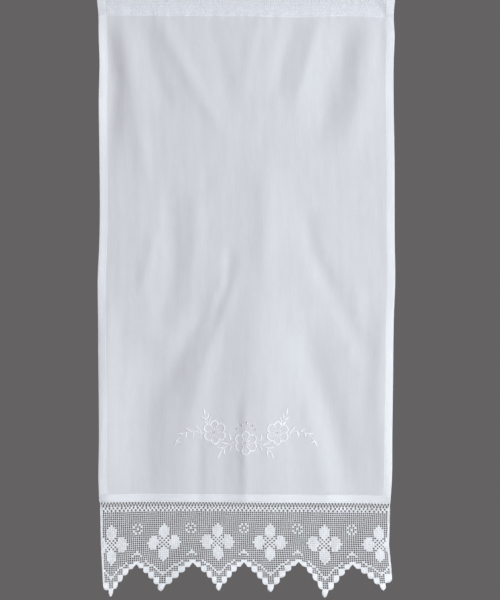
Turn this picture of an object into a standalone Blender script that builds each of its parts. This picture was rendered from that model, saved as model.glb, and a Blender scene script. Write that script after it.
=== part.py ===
"""Rod pocket curtain of white cotton batiste with a sewn-on border of filet crochet lace, as it hangs.

Metres, +Z up. The origin is the middle of the curtain's top edge, where a rod holds it. X runs along
the rod and -Y faces the room. A "drop" is a distance below the top edge, so z = -drop. "Rise" is how
far the cloth stands out towards the room.
"""

import math
from collections import namedtuple

import bmesh
import bpy
import numpy as np

# Thickness of the cloth and of the crochet
CLOTH = 0.0012
HEM = 0.0022
NET = 0.0014
SOLID_CROCHET = 0.0022
GAP = 0.0003

# Hems turned to the back of the panel
SIDE_HEM = 0.016
BOTTOM_HEM = 0.015
HEM_STEP = 0.0004

# Rod pocket: room for the rod, and the half gap left above the row of stitches
ROD_ROOM = 0.008
CLOSED_GAP = 0.0006
SectionRow = namedtuple("SectionRow", "depth share half_gap")

# Grid lines of the sheets
PANEL_COLUMNS = 46
PANEL_ROWS = 28
POCKET_COLUMNS = 18
CROWN_STEPS = 4
SIDE_STEPS = 4
LACE_COLUMNS = 46
LACE_ROWS = 6

# Colour and gloss of the white cotton, with the grey-blue cast of one sheer layer
BATISTE_COLOUR = (0.70, 0.73, 0.79, 1.0)
POCKET_COLOUR = (0.76, 0.79, 0.84, 1.0)
CROCHET_COLOUR = (0.84, 0.85, 0.87, 1.0)
ROUGHNESS = 0.9

# The two side edges, which draw in and swing out a little on the way down
Edge = namedtuple("Edge", "drop left right")
EDGES = (
    Edge(0.000, -0.2990, 0.2970),
    Edge(0.040, -0.2962, 0.2944),
    Edge(0.080, -0.2958, 0.2962),
    Edge(0.128, -0.2942, 0.2944),
    Edge(0.208, -0.2956, 0.2942),
    Edge(0.308, -0.2943, 0.2958),
    Edge(0.488, -0.2942, 0.2964),
    Edge(0.568, -0.2976, 0.2974),
    Edge(0.648, -0.2968, 0.2944),
    Edge(0.768, -0.2958, 0.2930),
    Edge(0.888, -0.2950, 0.2914),
    Edge(0.968, -0.2960, 0.2906),
    Edge(1.010, -0.2946, 0.2878),
)

# The pocket's row of stitches and the panel's lower edge, both slightly out of level
Level = namedtuple("Level", "x stitches lower_edge")
LEVELS = (
    Level(-0.29, 0.0374, 1.0112),
    Level(-0.15, 0.0386, 1.0106),
    Level(0.00, 0.0398, 1.0110),
    Level(0.09, 0.0418, 1.0116),
    Level(0.17, 0.0400, 1.0124),
    Level(0.22, 0.0394, 1.0130),
    Level(0.29, 0.0430, 1.0140),
)

# Soft ridges (rise above 0) and troughs, each along a bent line of three (x, drop) points: they fan
# out from the pocket, meet at a waist half way down and billow out again above the lace
Fold = namedtuple("Fold", "start middle end half_width rise")
FOLDS = (
    Fold((-0.283, 0.040), (-0.268, 0.180), (-0.278, 0.360), 0.019, -0.0060),
    Fold((-0.252, 0.024), (-0.222, 0.200), (-0.203, 0.420), 0.018, 0.0030),
    Fold((-0.217, 0.026), (-0.183, 0.158), (-0.143, 0.258), 0.020, -0.0030),
    Fold((-0.187, 0.020), (-0.127, 0.140), (-0.020, 0.320), 0.017, 0.0036),
    Fold((-0.085, 0.024), (-0.049, 0.148), (-0.029, 0.248), 0.018, -0.0022),
    Fold((0.031, 0.024), (0.003, 0.128), (-0.013, 0.218), 0.015, 0.0016),
    Fold((0.105, 0.024), (0.072, 0.128), (0.052, 0.228), 0.017, -0.0030),
    Fold((0.152, 0.024), (0.119, 0.140), (0.093, 0.250), 0.015, 0.0028),
    Fold((0.218, 0.024), (0.174, 0.165), (0.126, 0.330), 0.032, -0.0058),
    Fold((0.240, 0.024), (0.232, 0.190), (0.190, 0.350), 0.030, 0.0050),
    Fold((0.265, 0.024), (0.267, 0.108), (0.259, 0.188), 0.011, -0.0016),
    Fold((-0.183, 0.460), (-0.195, 0.530), (-0.212, 0.610), 0.012, 0.0021),
    Fold((-0.152, 0.360), (-0.148, 0.540), (-0.178, 0.720), 0.024, -0.0040),
    Fold((-0.104, 0.360), (-0.102, 0.480), (-0.106, 0.620), 0.014, 0.0016),
    Fold((-0.172, 0.680), (-0.205, 0.830), (-0.206, 1.110), 0.045, -0.0088),
    Fold((0.038, 0.310), (0.038, 0.458), (0.028, 0.620), 0.030, 0.0048),
    Fold((0.023, 0.530), (0.023, 0.748), (0.031, 1.190), 0.062, 0.0092),
    Fold((-0.019, 0.510), (-0.081, 0.708), (-0.125, 0.940), 0.021, 0.0042),
    Fold((0.112, 0.400), (0.130, 0.515), (0.200, 0.625), 0.018, -0.0032),
    Fold((0.105, 0.640), (0.152, 0.800), (0.234, 1.080), 0.032, -0.0072),
    Fold((-0.279, 0.570), (-0.281, 0.788), (-0.283, 1.110), 0.022, 0.0050),
    Fold((0.281, 0.590), (0.268, 0.788), (0.284, 1.090), 0.021, 0.0042),
    Fold((-0.018, 0.780), (-0.017, 0.900), (-0.018, 1.090), 0.010, -0.0013),
    Fold((-0.003, 0.790), (-0.003, 0.920), (-0.002, 1.090), 0.010, 0.0012),
    Fold((-0.094, 0.860), (-0.095, 0.940), (-0.096, 1.080), 0.012, -0.0020),
    Fold((-0.044, 0.870), (-0.042, 0.960), (-0.042, 1.090), 0.018, -0.0022),
    Fold((0.118, 0.780), (0.144, 0.900), (0.168, 1.080), 0.026, 0.0036),
    Fold((0.000, -0.150), (0.000, 0.450), (0.000, 1.250), 0.170, 0.0060),
)
FADE_IN = 0.25
FADE_OUT = 0.35

# The lace is counted in filet cells: columns from its left edge, rows from the hearts of the six
# flowers, one above each point of the zigzag. Each control column gives the place of a column at
# the seam, at the flowers' row and at a row near its foot: the hand-made lace pulls out of square.
LACE_CELLS = 141
SEAM_ROW = -20.4
FLOWER_STEP = 26
FIRST_FLOWER = 5.5
POINTS = 6
Column = namedtuple("Column", "cell seam_x heart_x heart_drop foot_x foot_row foot_drop")
CONTROL_COLUMNS = (
    Column(0.0, -0.2926, -0.2908, 1.0990, -0.2868, 17.6, 1.1740),
    Column(5.5, -0.2700, -0.2702, 1.0986, -0.2712, 24.3, 1.2014),
    Column(18.5, -0.2170, -0.2176, 1.0955, -0.2208, 10.2, 1.1380),
    Column(31.5, -0.1636, -0.1650, 1.0924, -0.1694, 24.3, 1.1900),
    Column(44.5, -0.1104, -0.1115, 1.0912, -0.1072, 10.2, 1.1346),
    Column(57.5, -0.0571, -0.0580, 1.0904, -0.0534, 24.3, 1.1890),
    Column(70.5, -0.0038, -0.0059, 1.0912, -0.0050, 10.2, 1.1340),
    Column(83.5, 0.0495, 0.0462, 1.0924, 0.0490, 24.3, 1.1916),
    Column(96.5, 0.1028, 0.1008, 1.0938, 0.1046, 10.2, 1.1332),
    Column(109.5, 0.1561, 0.1554, 1.0956, 0.1588, 24.3, 1.2034),
    Column(122.5, 0.2095, 0.2105, 1.0965, 0.2122, 10.2, 1.1388),
    Column(135.5, 0.2628, 0.2656, 1.0976, 0.2728, 24.3, 1.1888),
    Column(141.0, 0.2868, 0.2846, 1.0980, 0.2904, 16.4, 1.1590),
)

# Zigzag edge of one point, as (cells from its middle, row) where two shells meet
NOTCH = (13.0, 9.6)
CORNERS = ((11.5, 11.3), (9.2, 11.9), (6.5, 14.6), (3.9, 17.6), (1.4, 20.7))
LEFT_END = ((5.5, 17.8), (1.4, 21.0))
RIGHT_END = ((5.5, 15.8), (1.4, 20.2))
TIP_SHELL = ((1.3, 22.5), (0.9, 23.5), (0.0, 24.3), (-0.9, 23.5), (-1.3, 22.5))
TIP_LEANS = (-0.2, -0.5, -0.6, -0.2, -0.6, 0.3)
SHELL_STEPS = 4
SHELL_SQUARENESS = 0.6
SHELL_BELLY = 0.05
SHELL_PAD = 0.84
SHELL_LEAST_HEIGHT = 2.0

# Petals of a filet flower in the same cells, a quarter or a half of the outline each
UPRIGHT_PETAL = ((0.0, -9.5), (1.5, -8.2), (2.5, -7.0), (2.5, -4.0), (1.5, -2.8), (0.0, -1.5))
LEVEL_PETAL = ((8.5, 0.0), (7.2, -1.6), (6.3, -3.4), (3.6, -3.4), (2.6, -1.4), (2.5, 0.0))
SELVEDGE = 0.4


def smooth(t):
    """Eased step from 0 to 1."""
    t = np.clip(t, 0.0, 1.0)
    return t * t * (3.0 - 2.0 * t)


def curve_through(t, knots, values):
    """Smooth curve through a table's rows: cubic steps that keep the slope of the rows beside them."""
    t = np.asarray(t, float)
    knots = np.asarray(knots, float)
    values = np.broadcast_to(np.asarray(values, float), t.shape + (len(knots),))
    slopes = np.gradient(values, knots, axis=-1)
    i = np.clip(np.searchsorted(knots, t, side="right") - 1, 0, len(knots) - 2)
    span = knots[i + 1] - knots[i]
    s = (t - knots[i]) / span

    def at(rows, k):
        return np.take_along_axis(rows, k[..., None], axis=-1)[..., 0]

    ease = s * s * (3.0 - 2.0 * s)
    return (
        at(values, i) * (1.0 - ease)
        + at(values, i + 1) * ease
        + at(slopes, i) * span * s * (1.0 - s) ** 2
        - at(slopes, i + 1) * span * s**2 * (1.0 - s)
    )


def left_edge(drop):
    return curve_through(drop, [e.drop for e in EDGES], [e.left for e in EDGES])


def right_edge(drop):
    return curve_through(drop, [e.drop for e in EDGES], [e.right for e in EDGES])


def stitch_drop(x):
    return curve_through(x, [row.x for row in LEVELS], [row.stitches for row in LEVELS])


def lower_edge_drop(x):
    return curve_through(x, [row.x for row in LEVELS], [row.lower_edge for row in LEVELS])


def leg(x, drop, start, end):
    """Distance of a point from a straight leg, and how far along the leg it lies, from 0 to 1."""
    dx, dz = end[0] - start[0], end[1] - start[1]
    along = ((x - start[0]) * dx + (drop - start[1]) * dz) / (dx * dx + dz * dz)
    along = np.clip(along, 0.0, 1.0)
    return np.hypot(x - start[0] - along * dx, drop - start[1] - along * dz), along


def fold_rise(x, drop):
    """How far the hanging cloth stands out towards the room at a point."""
    rise = 0.0
    for fold in FOLDS:
        above, along_above = leg(x, drop, fold.start, fold.middle)
        below, along_below = leg(x, drop, fold.middle, fold.end)
        near = np.minimum(above, below)
        along = np.where(above < below, along_above / 2, (1.0 + along_below) / 2)
        fade = smooth(along / FADE_IN) * smooth((1.0 - along) / FADE_OUT)
        rise = rise + fold.rise * fade * np.exp(-((near / fold.half_width) ** 2))
    return rise


def material(name, colour):
    """Matt white cotton."""
    made = bpy.data.materials.new(name)
    made.use_nodes = True
    shader = made.node_tree.nodes["Principled BSDF"]
    shader.inputs["Base Color"].default_value = colour
    shader.inputs["Roughness"].default_value = ROUGHNESS
    shader.inputs["Metallic"].default_value = 0.0
    return made


def grid_object(name, columns, rows, place, collection, weld=False):
    """A sheet of columns x rows faces, whose point at column i and row j is at place(i, j)."""
    sheet = bmesh.new()
    bmesh.ops.create_grid(sheet, x_segments=columns, y_segments=rows, size=0.5)
    for vert in sheet.verts:
        vert.co = place(round((vert.co.x + 0.5) * columns), round((vert.co.y + 0.5) * rows))
    if weld:
        bmesh.ops.remove_doubles(sheet, verts=sheet.verts, dist=1e-6)
    mesh = bpy.data.meshes.new(name)
    sheet.to_mesh(mesh)
    sheet.free()
    mesh.shade_smooth()
    made = bpy.data.objects.new(name, mesh)
    collection.objects.link(made)
    return made


def solidify(sheet, thickness, offset, thick_points=None):
    """Gives a sheet its thickness. The points in thick_points get all of it, and others one layer."""
    modifier = sheet.modifiers.new("thickness", "SOLIDIFY")
    modifier.thickness = thickness
    modifier.offset = offset
    if thick_points is not None:
        hem = sheet.vertex_groups.new(name="hem")
        hem.add(thick_points, 1.0, "REPLACE")
        modifier.vertex_group = hem.name
        modifier.thickness_vertex_group = CLOTH / thickness


def outline_solid(name, outlines, depth, collection):
    """An upright slab through the lace: closed outlines of (x, drop) points, depth thick along Y."""
    curve = bpy.data.curves.new(name, "CURVE")
    curve.dimensions = "2D"
    curve.fill_mode = "BOTH"
    curve.extrude = depth / 2
    for outline in outlines:
        spline = curve.splines.new("POLY")
        spline.points.add(len(outline) - 1)
        for point, (x, drop) in zip(spline.points, outline):
            point.co = (x, -drop, 0.0, 1.0)
        spline.use_cyclic_u = True
    flat = bpy.data.objects.new(name, curve)
    flat.rotation_euler = (math.pi / 2, 0.0, 0.0)
    collection.objects.link(flat)
    bpy.context.view_layer.update()
    evaluated = flat.evaluated_get(bpy.context.evaluated_depsgraph_get())
    mesh = bpy.data.meshes.new_from_object(evaluated)
    made = bpy.data.objects.new(name, mesh)
    made.matrix_world = flat.matrix_world.copy()
    bpy.data.objects.remove(flat)
    collection.objects.link(made)
    welded = bmesh.new()
    welded.from_mesh(mesh)
    bmesh.ops.remove_doubles(welded, verts=welded.verts, dist=1e-6)
    bmesh.ops.recalc_face_normals(welded, faces=welded.faces)
    welded.to_mesh(mesh)
    welded.free()
    return made


def boolean(target, operation, other):
    modifier = target.modifiers.new(operation.lower(), "BOOLEAN")
    modifier.operation = operation
    modifier.solver = "EXACT"
    modifier.object = other


def lines_between(length, first_hem, last_hem, count):
    """Grid lines from 0 to length. Where a hem ends, a close pair of lines makes its step."""
    lines, low, high = [], 0.0, length
    if first_hem:
        lines += [0.0, first_hem - HEM_STEP]
        low = first_hem + HEM_STEP
    if last_hem:
        high = length - last_hem - HEM_STEP
    ends = 2 * bool(first_hem) + 2 * bool(last_hem)
    lines += list(np.linspace(low, high, count + 1 - ends))
    if last_hem:
        lines += [length - last_hem + HEM_STEP, length]
    return lines


def make_panel(collection):
    """The batiste panel: its front face follows the folds, and its hems thicken it at the back."""
    width = right_edge(0.5) - left_edge(0.5)
    height = lower_edge_drop(0.0) - stitch_drop(0.0)
    across = [line / width for line in lines_between(width, SIDE_HEM, SIDE_HEM, PANEL_COLUMNS)]
    down = [line / height for line in lines_between(height, 0.0, BOTTOM_HEM, PANEL_ROWS)]

    def place(i, j):
        share = 1.0 - down[PANEL_ROWS - j]
        x = left_edge(0.5) + width * across[i]
        upper, lower = stitch_drop(x) + GAP / 2, lower_edge_drop(x) - GAP / 2
        drop = lower + (upper - lower) * share
        x = left_edge(drop) + (right_edge(drop) - left_edge(drop)) * across[i]
        return (x, -fold_rise(x, drop) - CLOTH / 2, -drop)

    panel = grid_object("panel", PANEL_COLUMNS, PANEL_ROWS, place, collection)
    stride = PANEL_COLUMNS + 1
    hem_points = [
        j * stride + i
        for j in range(PANEL_ROWS + 1)
        for i in range(stride)
        if i < 2 or i > PANEL_COLUMNS - 2 or j < 2
    ]
    solidify(panel, HEM, -1.0, hem_points)
    return panel


def pocket_section():
    """Half of the pocket's section, from the top down: a round crown for the rod, then a side that
    closes in to the row of stitches. A row lies at its depth plus its share of the side's height."""
    rows = []
    for step in range(CROWN_STEPS + 1):
        angle = math.pi / 2 * step / CROWN_STEPS
        rows.append(SectionRow(ROD_ROOM * (1.0 - math.cos(angle)), 0.0, ROD_ROOM * math.sin(angle)))
    for step in range(1, SIDE_STEPS + 1):
        share = step / SIDE_STEPS
        half_gap = CLOSED_GAP + (ROD_ROOM - CLOSED_GAP) * (1.0 - float(smooth(share)))
        rows.append(SectionRow(ROD_ROOM, share, half_gap))
    rows.append(SectionRow(ROD_ROOM + CLOSED_GAP, 1.0, 0.0))
    return rows


def make_pocket(collection):
    """The heading: a sleeve that is open at both ends, with its seam just above the panel."""
    back = pocket_section()
    ring = [(row, -1.0) for row in reversed(back)] + [(row, 1.0) for row in back[1:]]

    def place(i, j):
        row, side = ring[j]
        along = i / POCKET_COLUMNS
        x = left_edge(0.02) + (right_edge(0.02) - left_edge(0.02)) * along
        seam = stitch_drop(x) - GAP / 2 - CLOTH
        sides = seam - CLOTH - ROD_ROOM - CLOSED_GAP
        drop = CLOTH + row.depth + sides * row.share
        x = left_edge(drop) + (right_edge(drop) - left_edge(drop)) * along
        sway = fold_rise(x, seam) * (drop / seam) ** 2
        return (x, side * row.half_gap - sway, -drop)

    pocket = grid_object("rod_pocket", POCKET_COLUMNS, len(ring) - 1, place, collection, weld=True)
    solidify(pocket, CLOTH, 1.0)
    return pocket


def lace_place(cell, row):
    """Where a point of the lace, counted in cells, hangs: (x, drop)."""
    cell = np.asarray(cell, float)
    row = np.asarray(row, float)[..., None]
    seam_x = np.array([c.seam_x for c in CONTROL_COLUMNS])
    heart_x = np.array([c.heart_x for c in CONTROL_COLUMNS])
    heart_drop = np.array([c.heart_drop for c in CONTROL_COLUMNS])
    foot_row = np.array([c.foot_row for c in CONTROL_COLUMNS])
    foot_x = np.array([c.foot_x for c in CONTROL_COLUMNS])
    foot_drop = np.array([c.foot_drop for c in CONTROL_COLUMNS])
    seam_drop = lower_edge_drop(seam_x) + GAP / 2
    above, below = row / SEAM_ROW, row / foot_row
    x = np.where(row < 0, heart_x + (seam_x - heart_x) * above, heart_x + (foot_x - heart_x) * below)
    drop = np.where(
        row < 0,
        heart_drop + (seam_drop - heart_drop) * above,
        heart_drop + (foot_drop - heart_drop) * below,
    )
    cells = [c.cell for c in CONTROL_COLUMNS]
    return curve_through(cell, cells, x), curve_through(cell, cells, drop)


def placed(cells_and_rows):
    return [tuple(float(v) for v in lace_place(cell, row)) for cell, row in cells_and_rows]


def shell(outer, inner):
    """The lower edge of one shell from its outer corner: down, round a soft corner, then inwards."""
    arc = []
    for step in range(SHELL_STEPS):
        angle = math.pi / 2 * step / SHELL_STEPS
        belly = SHELL_BELLY * math.sin(2 * angle)
        out = math.cos(angle) ** SHELL_SQUARENESS
        down = math.sin(angle) ** SHELL_SQUARENESS
        cells = inner[0] + (outer[0] - inner[0]) * out + belly
        arc.append((cells, outer[1] + (inner[1] - outer[1]) * down + belly))
    return arc


def flower_cell(point):
    return FIRST_FLOWER + FLOWER_STEP * point


def point_corners(point, side):
    """Corners down one side of a point. The lace's two ends cut the outer points short."""
    if point == 0 and side < 0:
        return LEFT_END
    if point == POINTS - 1 and side > 0:
        return RIGHT_END
    return CORNERS


def tip_shell(point):
    """The last shell of a point, in cells from the point's middle: it leans a little to one side."""
    return [(cells + TIP_LEANS[point], row) for cells, row in TIP_SHELL]


def lace_outline():
    """The lace from its seam down the right edge, along the zigzag to the left and up again."""
    top_x = [float(lace_place(cell, SEAM_ROW)[0]) for cell in range(0, LACE_CELLS + 1, 3)]
    outline = [(x, float(lower_edge_drop(x)) + GAP / 2) for x in top_x]
    zigzag = [(LACE_CELLS, 0.0), (LACE_CELLS, 10.0)]
    for point in reversed(range(POINTS)):
        middle = flower_cell(point)
        for side in (1, -1):
            corners = point_corners(point, side)
            steps = []
            for outer, inner in zip(corners, corners[1:]):
                steps += shell(outer, inner)
            steps.append(corners[-1])
            if side > 0:
                if point < POINTS - 1:
                    zigzag.append((middle + NOTCH[0], NOTCH[1]))
                zigzag += [(middle + cells, row) for cells, row in steps]
                zigzag += [(middle + cells, row) for cells, row in tip_shell(point)]
            else:
                zigzag += [(middle - cells, row) for cells, row in reversed(steps[1:])]
    zigzag += [(-0.35, 15.2), (0.0, 12.8), (0.0, 0.0)]
    return outline + placed(zigzag)


def shell_pads():
    """The solid fill of each shell, drawn in from the shell's edge."""
    pads = []
    for point in range(POINTS):
        for side in (1, -1):
            corners = point_corners(point, side)
            for outer, inner in zip(corners, corners[1:]):
                top = min(outer[1], inner[1] - SHELL_LEAST_HEIGHT)
                rim = shell(outer, inner) + [inner, (inner[0], top)]
                if top < outer[1]:
                    rim.append((outer[0], top))
                middle = np.mean(rim, axis=0)
                pads.append(
                    [
                        (flower_cell(point) + side * (middle[0] + (cells - middle[0]) * SHELL_PAD),
                         middle[1] + (row - middle[1]) * SHELL_PAD)
                        for cells, row in rim
                    ]
                )
        tip = [CORNERS[-1], *tip_shell(point), (-CORNERS[-1][0], CORNERS[-1][1])]
        middle = np.mean(tip, axis=0)
        pads.append(
            [
                (flower_cell(point) + (cells - middle[0]) * SHELL_PAD,
                 middle[1] + (row - middle[1]) * SHELL_PAD)
                for cells, row in tip
            ]
        )
    return pads


def petals():
    """The four solid petals of each flower. A petal past a side edge stops at the selvedge."""
    outlines = []
    for point in range(POINTS):
        middle = flower_cell(point)
        for down in (1, -1):
            right = [(middle + cells, row * down) for cells, row in UPRIGHT_PETAL]
            left = [(middle - cells, row * down) for cells, row in UPRIGHT_PETAL[1:-1]]
            outlines.append(right + left[::-1])
        for side in (1, -1):
            upper = [(middle + side * cells, row) for cells, row in LEVEL_PETAL]
            lower = [(middle + side * cells, -row) for cells, row in LEVEL_PETAL[1:-1]]
            outlines.append(upper + lower[::-1])
    inside = (SELVEDGE, LACE_CELLS - SELVEDGE)
    return [
        [(min(max(cell, inside[0]), inside[1]), row) for cell, row in outline]
        for outline in outlines
    ]


def without_repeats(outline):
    """The outline without points that lie on their neighbour, as at a petal cut by the edge."""
    kept = []
    for point in outline:
        if not kept or math.dist(kept[-1], point) > GAP:
            kept.append(point)
    return kept


def lace_sheet(name, thickness, collection):
    """A slab that follows the folds over the whole height of the lace, to be cut to outline."""
    upper, lower = 0.985, 1.225
    reach = 0.312

    def place(i, j):
        x = -reach + 2 * reach * i / LACE_COLUMNS
        drop = lower + (upper - lower) * j / LACE_ROWS
        return (x, -fold_rise(x, drop), -drop)

    sheet = grid_object(name, LACE_COLUMNS, LACE_ROWS, place, collection)
    solidify(sheet, thickness, 0.0)
    return sheet


def make_lace(collection, guides):
    """The crocheted border: a net with raised solid petals and shells. Its meshes are under 4 mm."""
    depth = 0.08
    lace = lace_sheet("lace_border", NET, collection)
    boolean(lace, "INTERSECT", outline_solid("lace_outline", [lace_outline()], depth, guides))
    raised = [without_repeats(placed(outline)) for outline in petals() + shell_pads()]
    solid_work = lace_sheet("solid_crochet", SOLID_CROCHET, guides)
    boolean(solid_work, "INTERSECT", outline_solid("solid_outlines", raised, depth, guides))
    boolean(lace, "UNION", solid_work)
    return lace


def main():
    for old in list(bpy.data.objects):
        bpy.data.objects.remove(old)
    curtain = bpy.data.collections.new("rod_pocket_curtain")
    guides = bpy.data.collections.new("guides")
    for collection in (curtain, guides):
        bpy.context.scene.collection.children.link(collection)

    panel = make_panel(curtain)
    pocket = make_pocket(curtain)
    lace = make_lace(curtain, guides)
    for guide in guides.objects:
        guide.hide_render = True
        guide.display_type = "WIRE"

    panel.data.materials.append(material("white_batiste", BATISTE_COLOUR))
    pocket.data.materials.append(material("white_batiste_doubled", POCKET_COLOUR))
    lace.data.materials.append(material("white_crochet_cotton", CROCHET_COLOUR))


main()
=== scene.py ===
"""Looks of the rod pocket curtain: sheer batiste, its hems and stitches, white embroidery and lace.

Metres, +Z up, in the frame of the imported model. The origin is the middle of the top edge, X runs along
the rod and -Y faces the room. A "drop" is a distance below the top edge, and "rise" is how far the
cloth stands out towards the room.
"""

import math
from collections import namedtuple

import bpy
import numpy as np
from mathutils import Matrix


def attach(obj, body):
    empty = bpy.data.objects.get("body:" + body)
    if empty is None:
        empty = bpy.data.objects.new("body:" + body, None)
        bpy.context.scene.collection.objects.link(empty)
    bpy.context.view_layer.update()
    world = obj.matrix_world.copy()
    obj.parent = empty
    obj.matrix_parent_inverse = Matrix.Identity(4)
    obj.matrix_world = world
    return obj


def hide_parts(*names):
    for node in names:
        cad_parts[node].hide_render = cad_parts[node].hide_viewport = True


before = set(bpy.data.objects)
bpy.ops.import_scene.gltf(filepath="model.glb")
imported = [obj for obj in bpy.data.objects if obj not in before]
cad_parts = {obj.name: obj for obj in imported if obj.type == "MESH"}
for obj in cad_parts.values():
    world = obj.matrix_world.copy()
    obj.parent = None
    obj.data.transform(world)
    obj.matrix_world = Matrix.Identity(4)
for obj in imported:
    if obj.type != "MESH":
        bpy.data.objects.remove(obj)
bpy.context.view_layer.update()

# The model's own sizes, as in the part's source

CLOTH = 0.0012
GAP = 0.0003
SIDE_HEM = 0.016
BOTTOM_HEM = 0.015

Edge = namedtuple("Edge", "drop left right")
EDGES = (
    Edge(0.000, -0.2990, 0.2970),
    Edge(0.040, -0.2962, 0.2944),
    Edge(0.080, -0.2958, 0.2962),
    Edge(0.128, -0.2942, 0.2944),
    Edge(0.208, -0.2956, 0.2942),
    Edge(0.308, -0.2943, 0.2958),
    Edge(0.488, -0.2942, 0.2964),
    Edge(0.568, -0.2976, 0.2974),
    Edge(0.648, -0.2968, 0.2944),
    Edge(0.768, -0.2958, 0.2930),
    Edge(0.888, -0.2950, 0.2914),
    Edge(0.968, -0.2960, 0.2906),
    Edge(1.010, -0.2946, 0.2878),
)

Level = namedtuple("Level", "x stitches lower_edge")
LEVELS = (
    Level(-0.29, 0.0374, 1.0112),
    Level(-0.15, 0.0386, 1.0106),
    Level(0.00, 0.0398, 1.0110),
    Level(0.09, 0.0418, 1.0116),
    Level(0.17, 0.0400, 1.0124),
    Level(0.22, 0.0394, 1.0130),
    Level(0.29, 0.0430, 1.0140),
)

Fold = namedtuple("Fold", "start middle end half_width rise")
FOLDS = (
    Fold((-0.283, 0.040), (-0.268, 0.180), (-0.278, 0.360), 0.019, -0.0060),
    Fold((-0.252, 0.024), (-0.222, 0.200), (-0.203, 0.420), 0.018, 0.0030),
    Fold((-0.217, 0.026), (-0.183, 0.158), (-0.143, 0.258), 0.020, -0.0030),
    Fold((-0.187, 0.020), (-0.127, 0.140), (-0.020, 0.320), 0.017, 0.0036),
    Fold((-0.085, 0.024), (-0.049, 0.148), (-0.029, 0.248), 0.018, -0.0022),
    Fold((0.031, 0.024), (0.003, 0.128), (-0.013, 0.218), 0.015, 0.0016),
    Fold((0.105, 0.024), (0.072, 0.128), (0.052, 0.228), 0.017, -0.0030),
    Fold((0.152, 0.024), (0.119, 0.140), (0.093, 0.250), 0.015, 0.0028),
    Fold((0.218, 0.024), (0.174, 0.165), (0.126, 0.330), 0.032, -0.0058),
    Fold((0.240, 0.024), (0.232, 0.190), (0.190, 0.350), 0.030, 0.0050),
    Fold((0.265, 0.024), (0.267, 0.108), (0.259, 0.188), 0.011, -0.0016),
    Fold((-0.183, 0.460), (-0.195, 0.530), (-0.212, 0.610), 0.012, 0.0021),
    Fold((-0.152, 0.360), (-0.148, 0.540), (-0.178, 0.720), 0.024, -0.0040),
    Fold((-0.104, 0.360), (-0.102, 0.480), (-0.106, 0.620), 0.014, 0.0016),
    Fold((-0.172, 0.680), (-0.205, 0.830), (-0.206, 1.110), 0.045, -0.0088),
    Fold((0.038, 0.310), (0.038, 0.458), (0.028, 0.620), 0.030, 0.0048),
    Fold((0.023, 0.530), (0.023, 0.748), (0.031, 1.190), 0.062, 0.0092),
    Fold((-0.019, 0.510), (-0.081, 0.708), (-0.125, 0.940), 0.021, 0.0042),
    Fold((0.112, 0.400), (0.130, 0.515), (0.200, 0.625), 0.018, -0.0032),
    Fold((0.105, 0.640), (0.152, 0.800), (0.234, 1.080), 0.032, -0.0072),
    Fold((-0.279, 0.570), (-0.281, 0.788), (-0.283, 1.110), 0.022, 0.0050),
    Fold((0.281, 0.590), (0.268, 0.788), (0.284, 1.090), 0.021, 0.0042),
    Fold((-0.018, 0.780), (-0.017, 0.900), (-0.018, 1.090), 0.010, -0.0013),
    Fold((-0.003, 0.790), (-0.003, 0.920), (-0.002, 1.090), 0.010, 0.0012),
    Fold((-0.094, 0.860), (-0.095, 0.940), (-0.096, 1.080), 0.012, -0.0020),
    Fold((-0.044, 0.870), (-0.042, 0.960), (-0.042, 1.090), 0.018, -0.0022),
    Fold((0.118, 0.780), (0.144, 0.900), (0.168, 1.080), 0.026, 0.0036),
    Fold((0.000, -0.150), (0.000, 0.450), (0.000, 1.250), 0.170, 0.0060),
)
# Narrow creases, which the model leaves to the looks
CREASES = (
    Fold((-0.030, 0.490), (-0.040, 0.580), (-0.102, 0.750), 0.012, -0.0036),
    Fold((0.024, 0.860), (0.026, 0.940), (0.028, 1.080), 0.022, -0.0018),
    Fold((-0.062, 0.600), (-0.130, 0.705), (-0.178, 0.830), 0.020, -0.0032),
    Fold((-0.214, 0.270), (-0.201, 0.330), (-0.188, 0.405), 0.011, 0.0009),
    Fold((-0.083, 0.335), (-0.081, 0.362), (-0.085, 0.392), 0.010, -0.0010),
    Fold((0.134, 0.530), (0.188, 0.625), (0.264, 0.760), 0.018, -0.0022),
    Fold((0.224, 0.580), (0.226, 0.612), (0.222, 0.645), 0.012, 0.0014),
    Fold((0.204, 0.685), (0.206, 0.716), (0.204, 0.748), 0.012, 0.0014),
)
FADE_IN = 0.25
FADE_OUT = 0.35

# The lace is counted in filet cells: columns from its left edge, rows from the flowers' hearts
LACE_CELLS = 141
SEAM_ROW = -20.4
FLOWER_STEP = 26
FLOWER_COLUMN = 5
POINTS = 6
Column = namedtuple("Column", "cell seam_x heart_x heart_drop foot_x foot_row foot_drop")
CONTROL_COLUMNS = (
    Column(0.0, -0.2926, -0.2908, 1.0990, -0.2868, 17.6, 1.1740),
    Column(5.5, -0.2700, -0.2702, 1.0986, -0.2712, 24.3, 1.2014),
    Column(18.5, -0.2170, -0.2176, 1.0955, -0.2208, 10.2, 1.1380),
    Column(31.5, -0.1636, -0.1650, 1.0924, -0.1694, 24.3, 1.1900),
    Column(44.5, -0.1104, -0.1115, 1.0912, -0.1072, 10.2, 1.1346),
    Column(57.5, -0.0571, -0.0580, 1.0904, -0.0534, 24.3, 1.1890),
    Column(70.5, -0.0038, -0.0059, 1.0912, -0.0050, 10.2, 1.1340),
    Column(83.5, 0.0495, 0.0462, 1.0924, 0.0490, 24.3, 1.1916),
    Column(96.5, 0.1028, 0.1008, 1.0938, 0.1046, 10.2, 1.1332),
    Column(109.5, 0.1561, 0.1554, 1.0956, 0.1588, 24.3, 1.2034),
    Column(122.5, 0.2095, 0.2105, 1.0965, 0.2122, 10.2, 1.1388),
    Column(135.5, 0.2628, 0.2656, 1.0976, 0.2728, 24.3, 1.1888),
    Column(141.0, 0.2868, 0.2846, 1.0980, 0.2904, 16.4, 1.1590),
)
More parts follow.
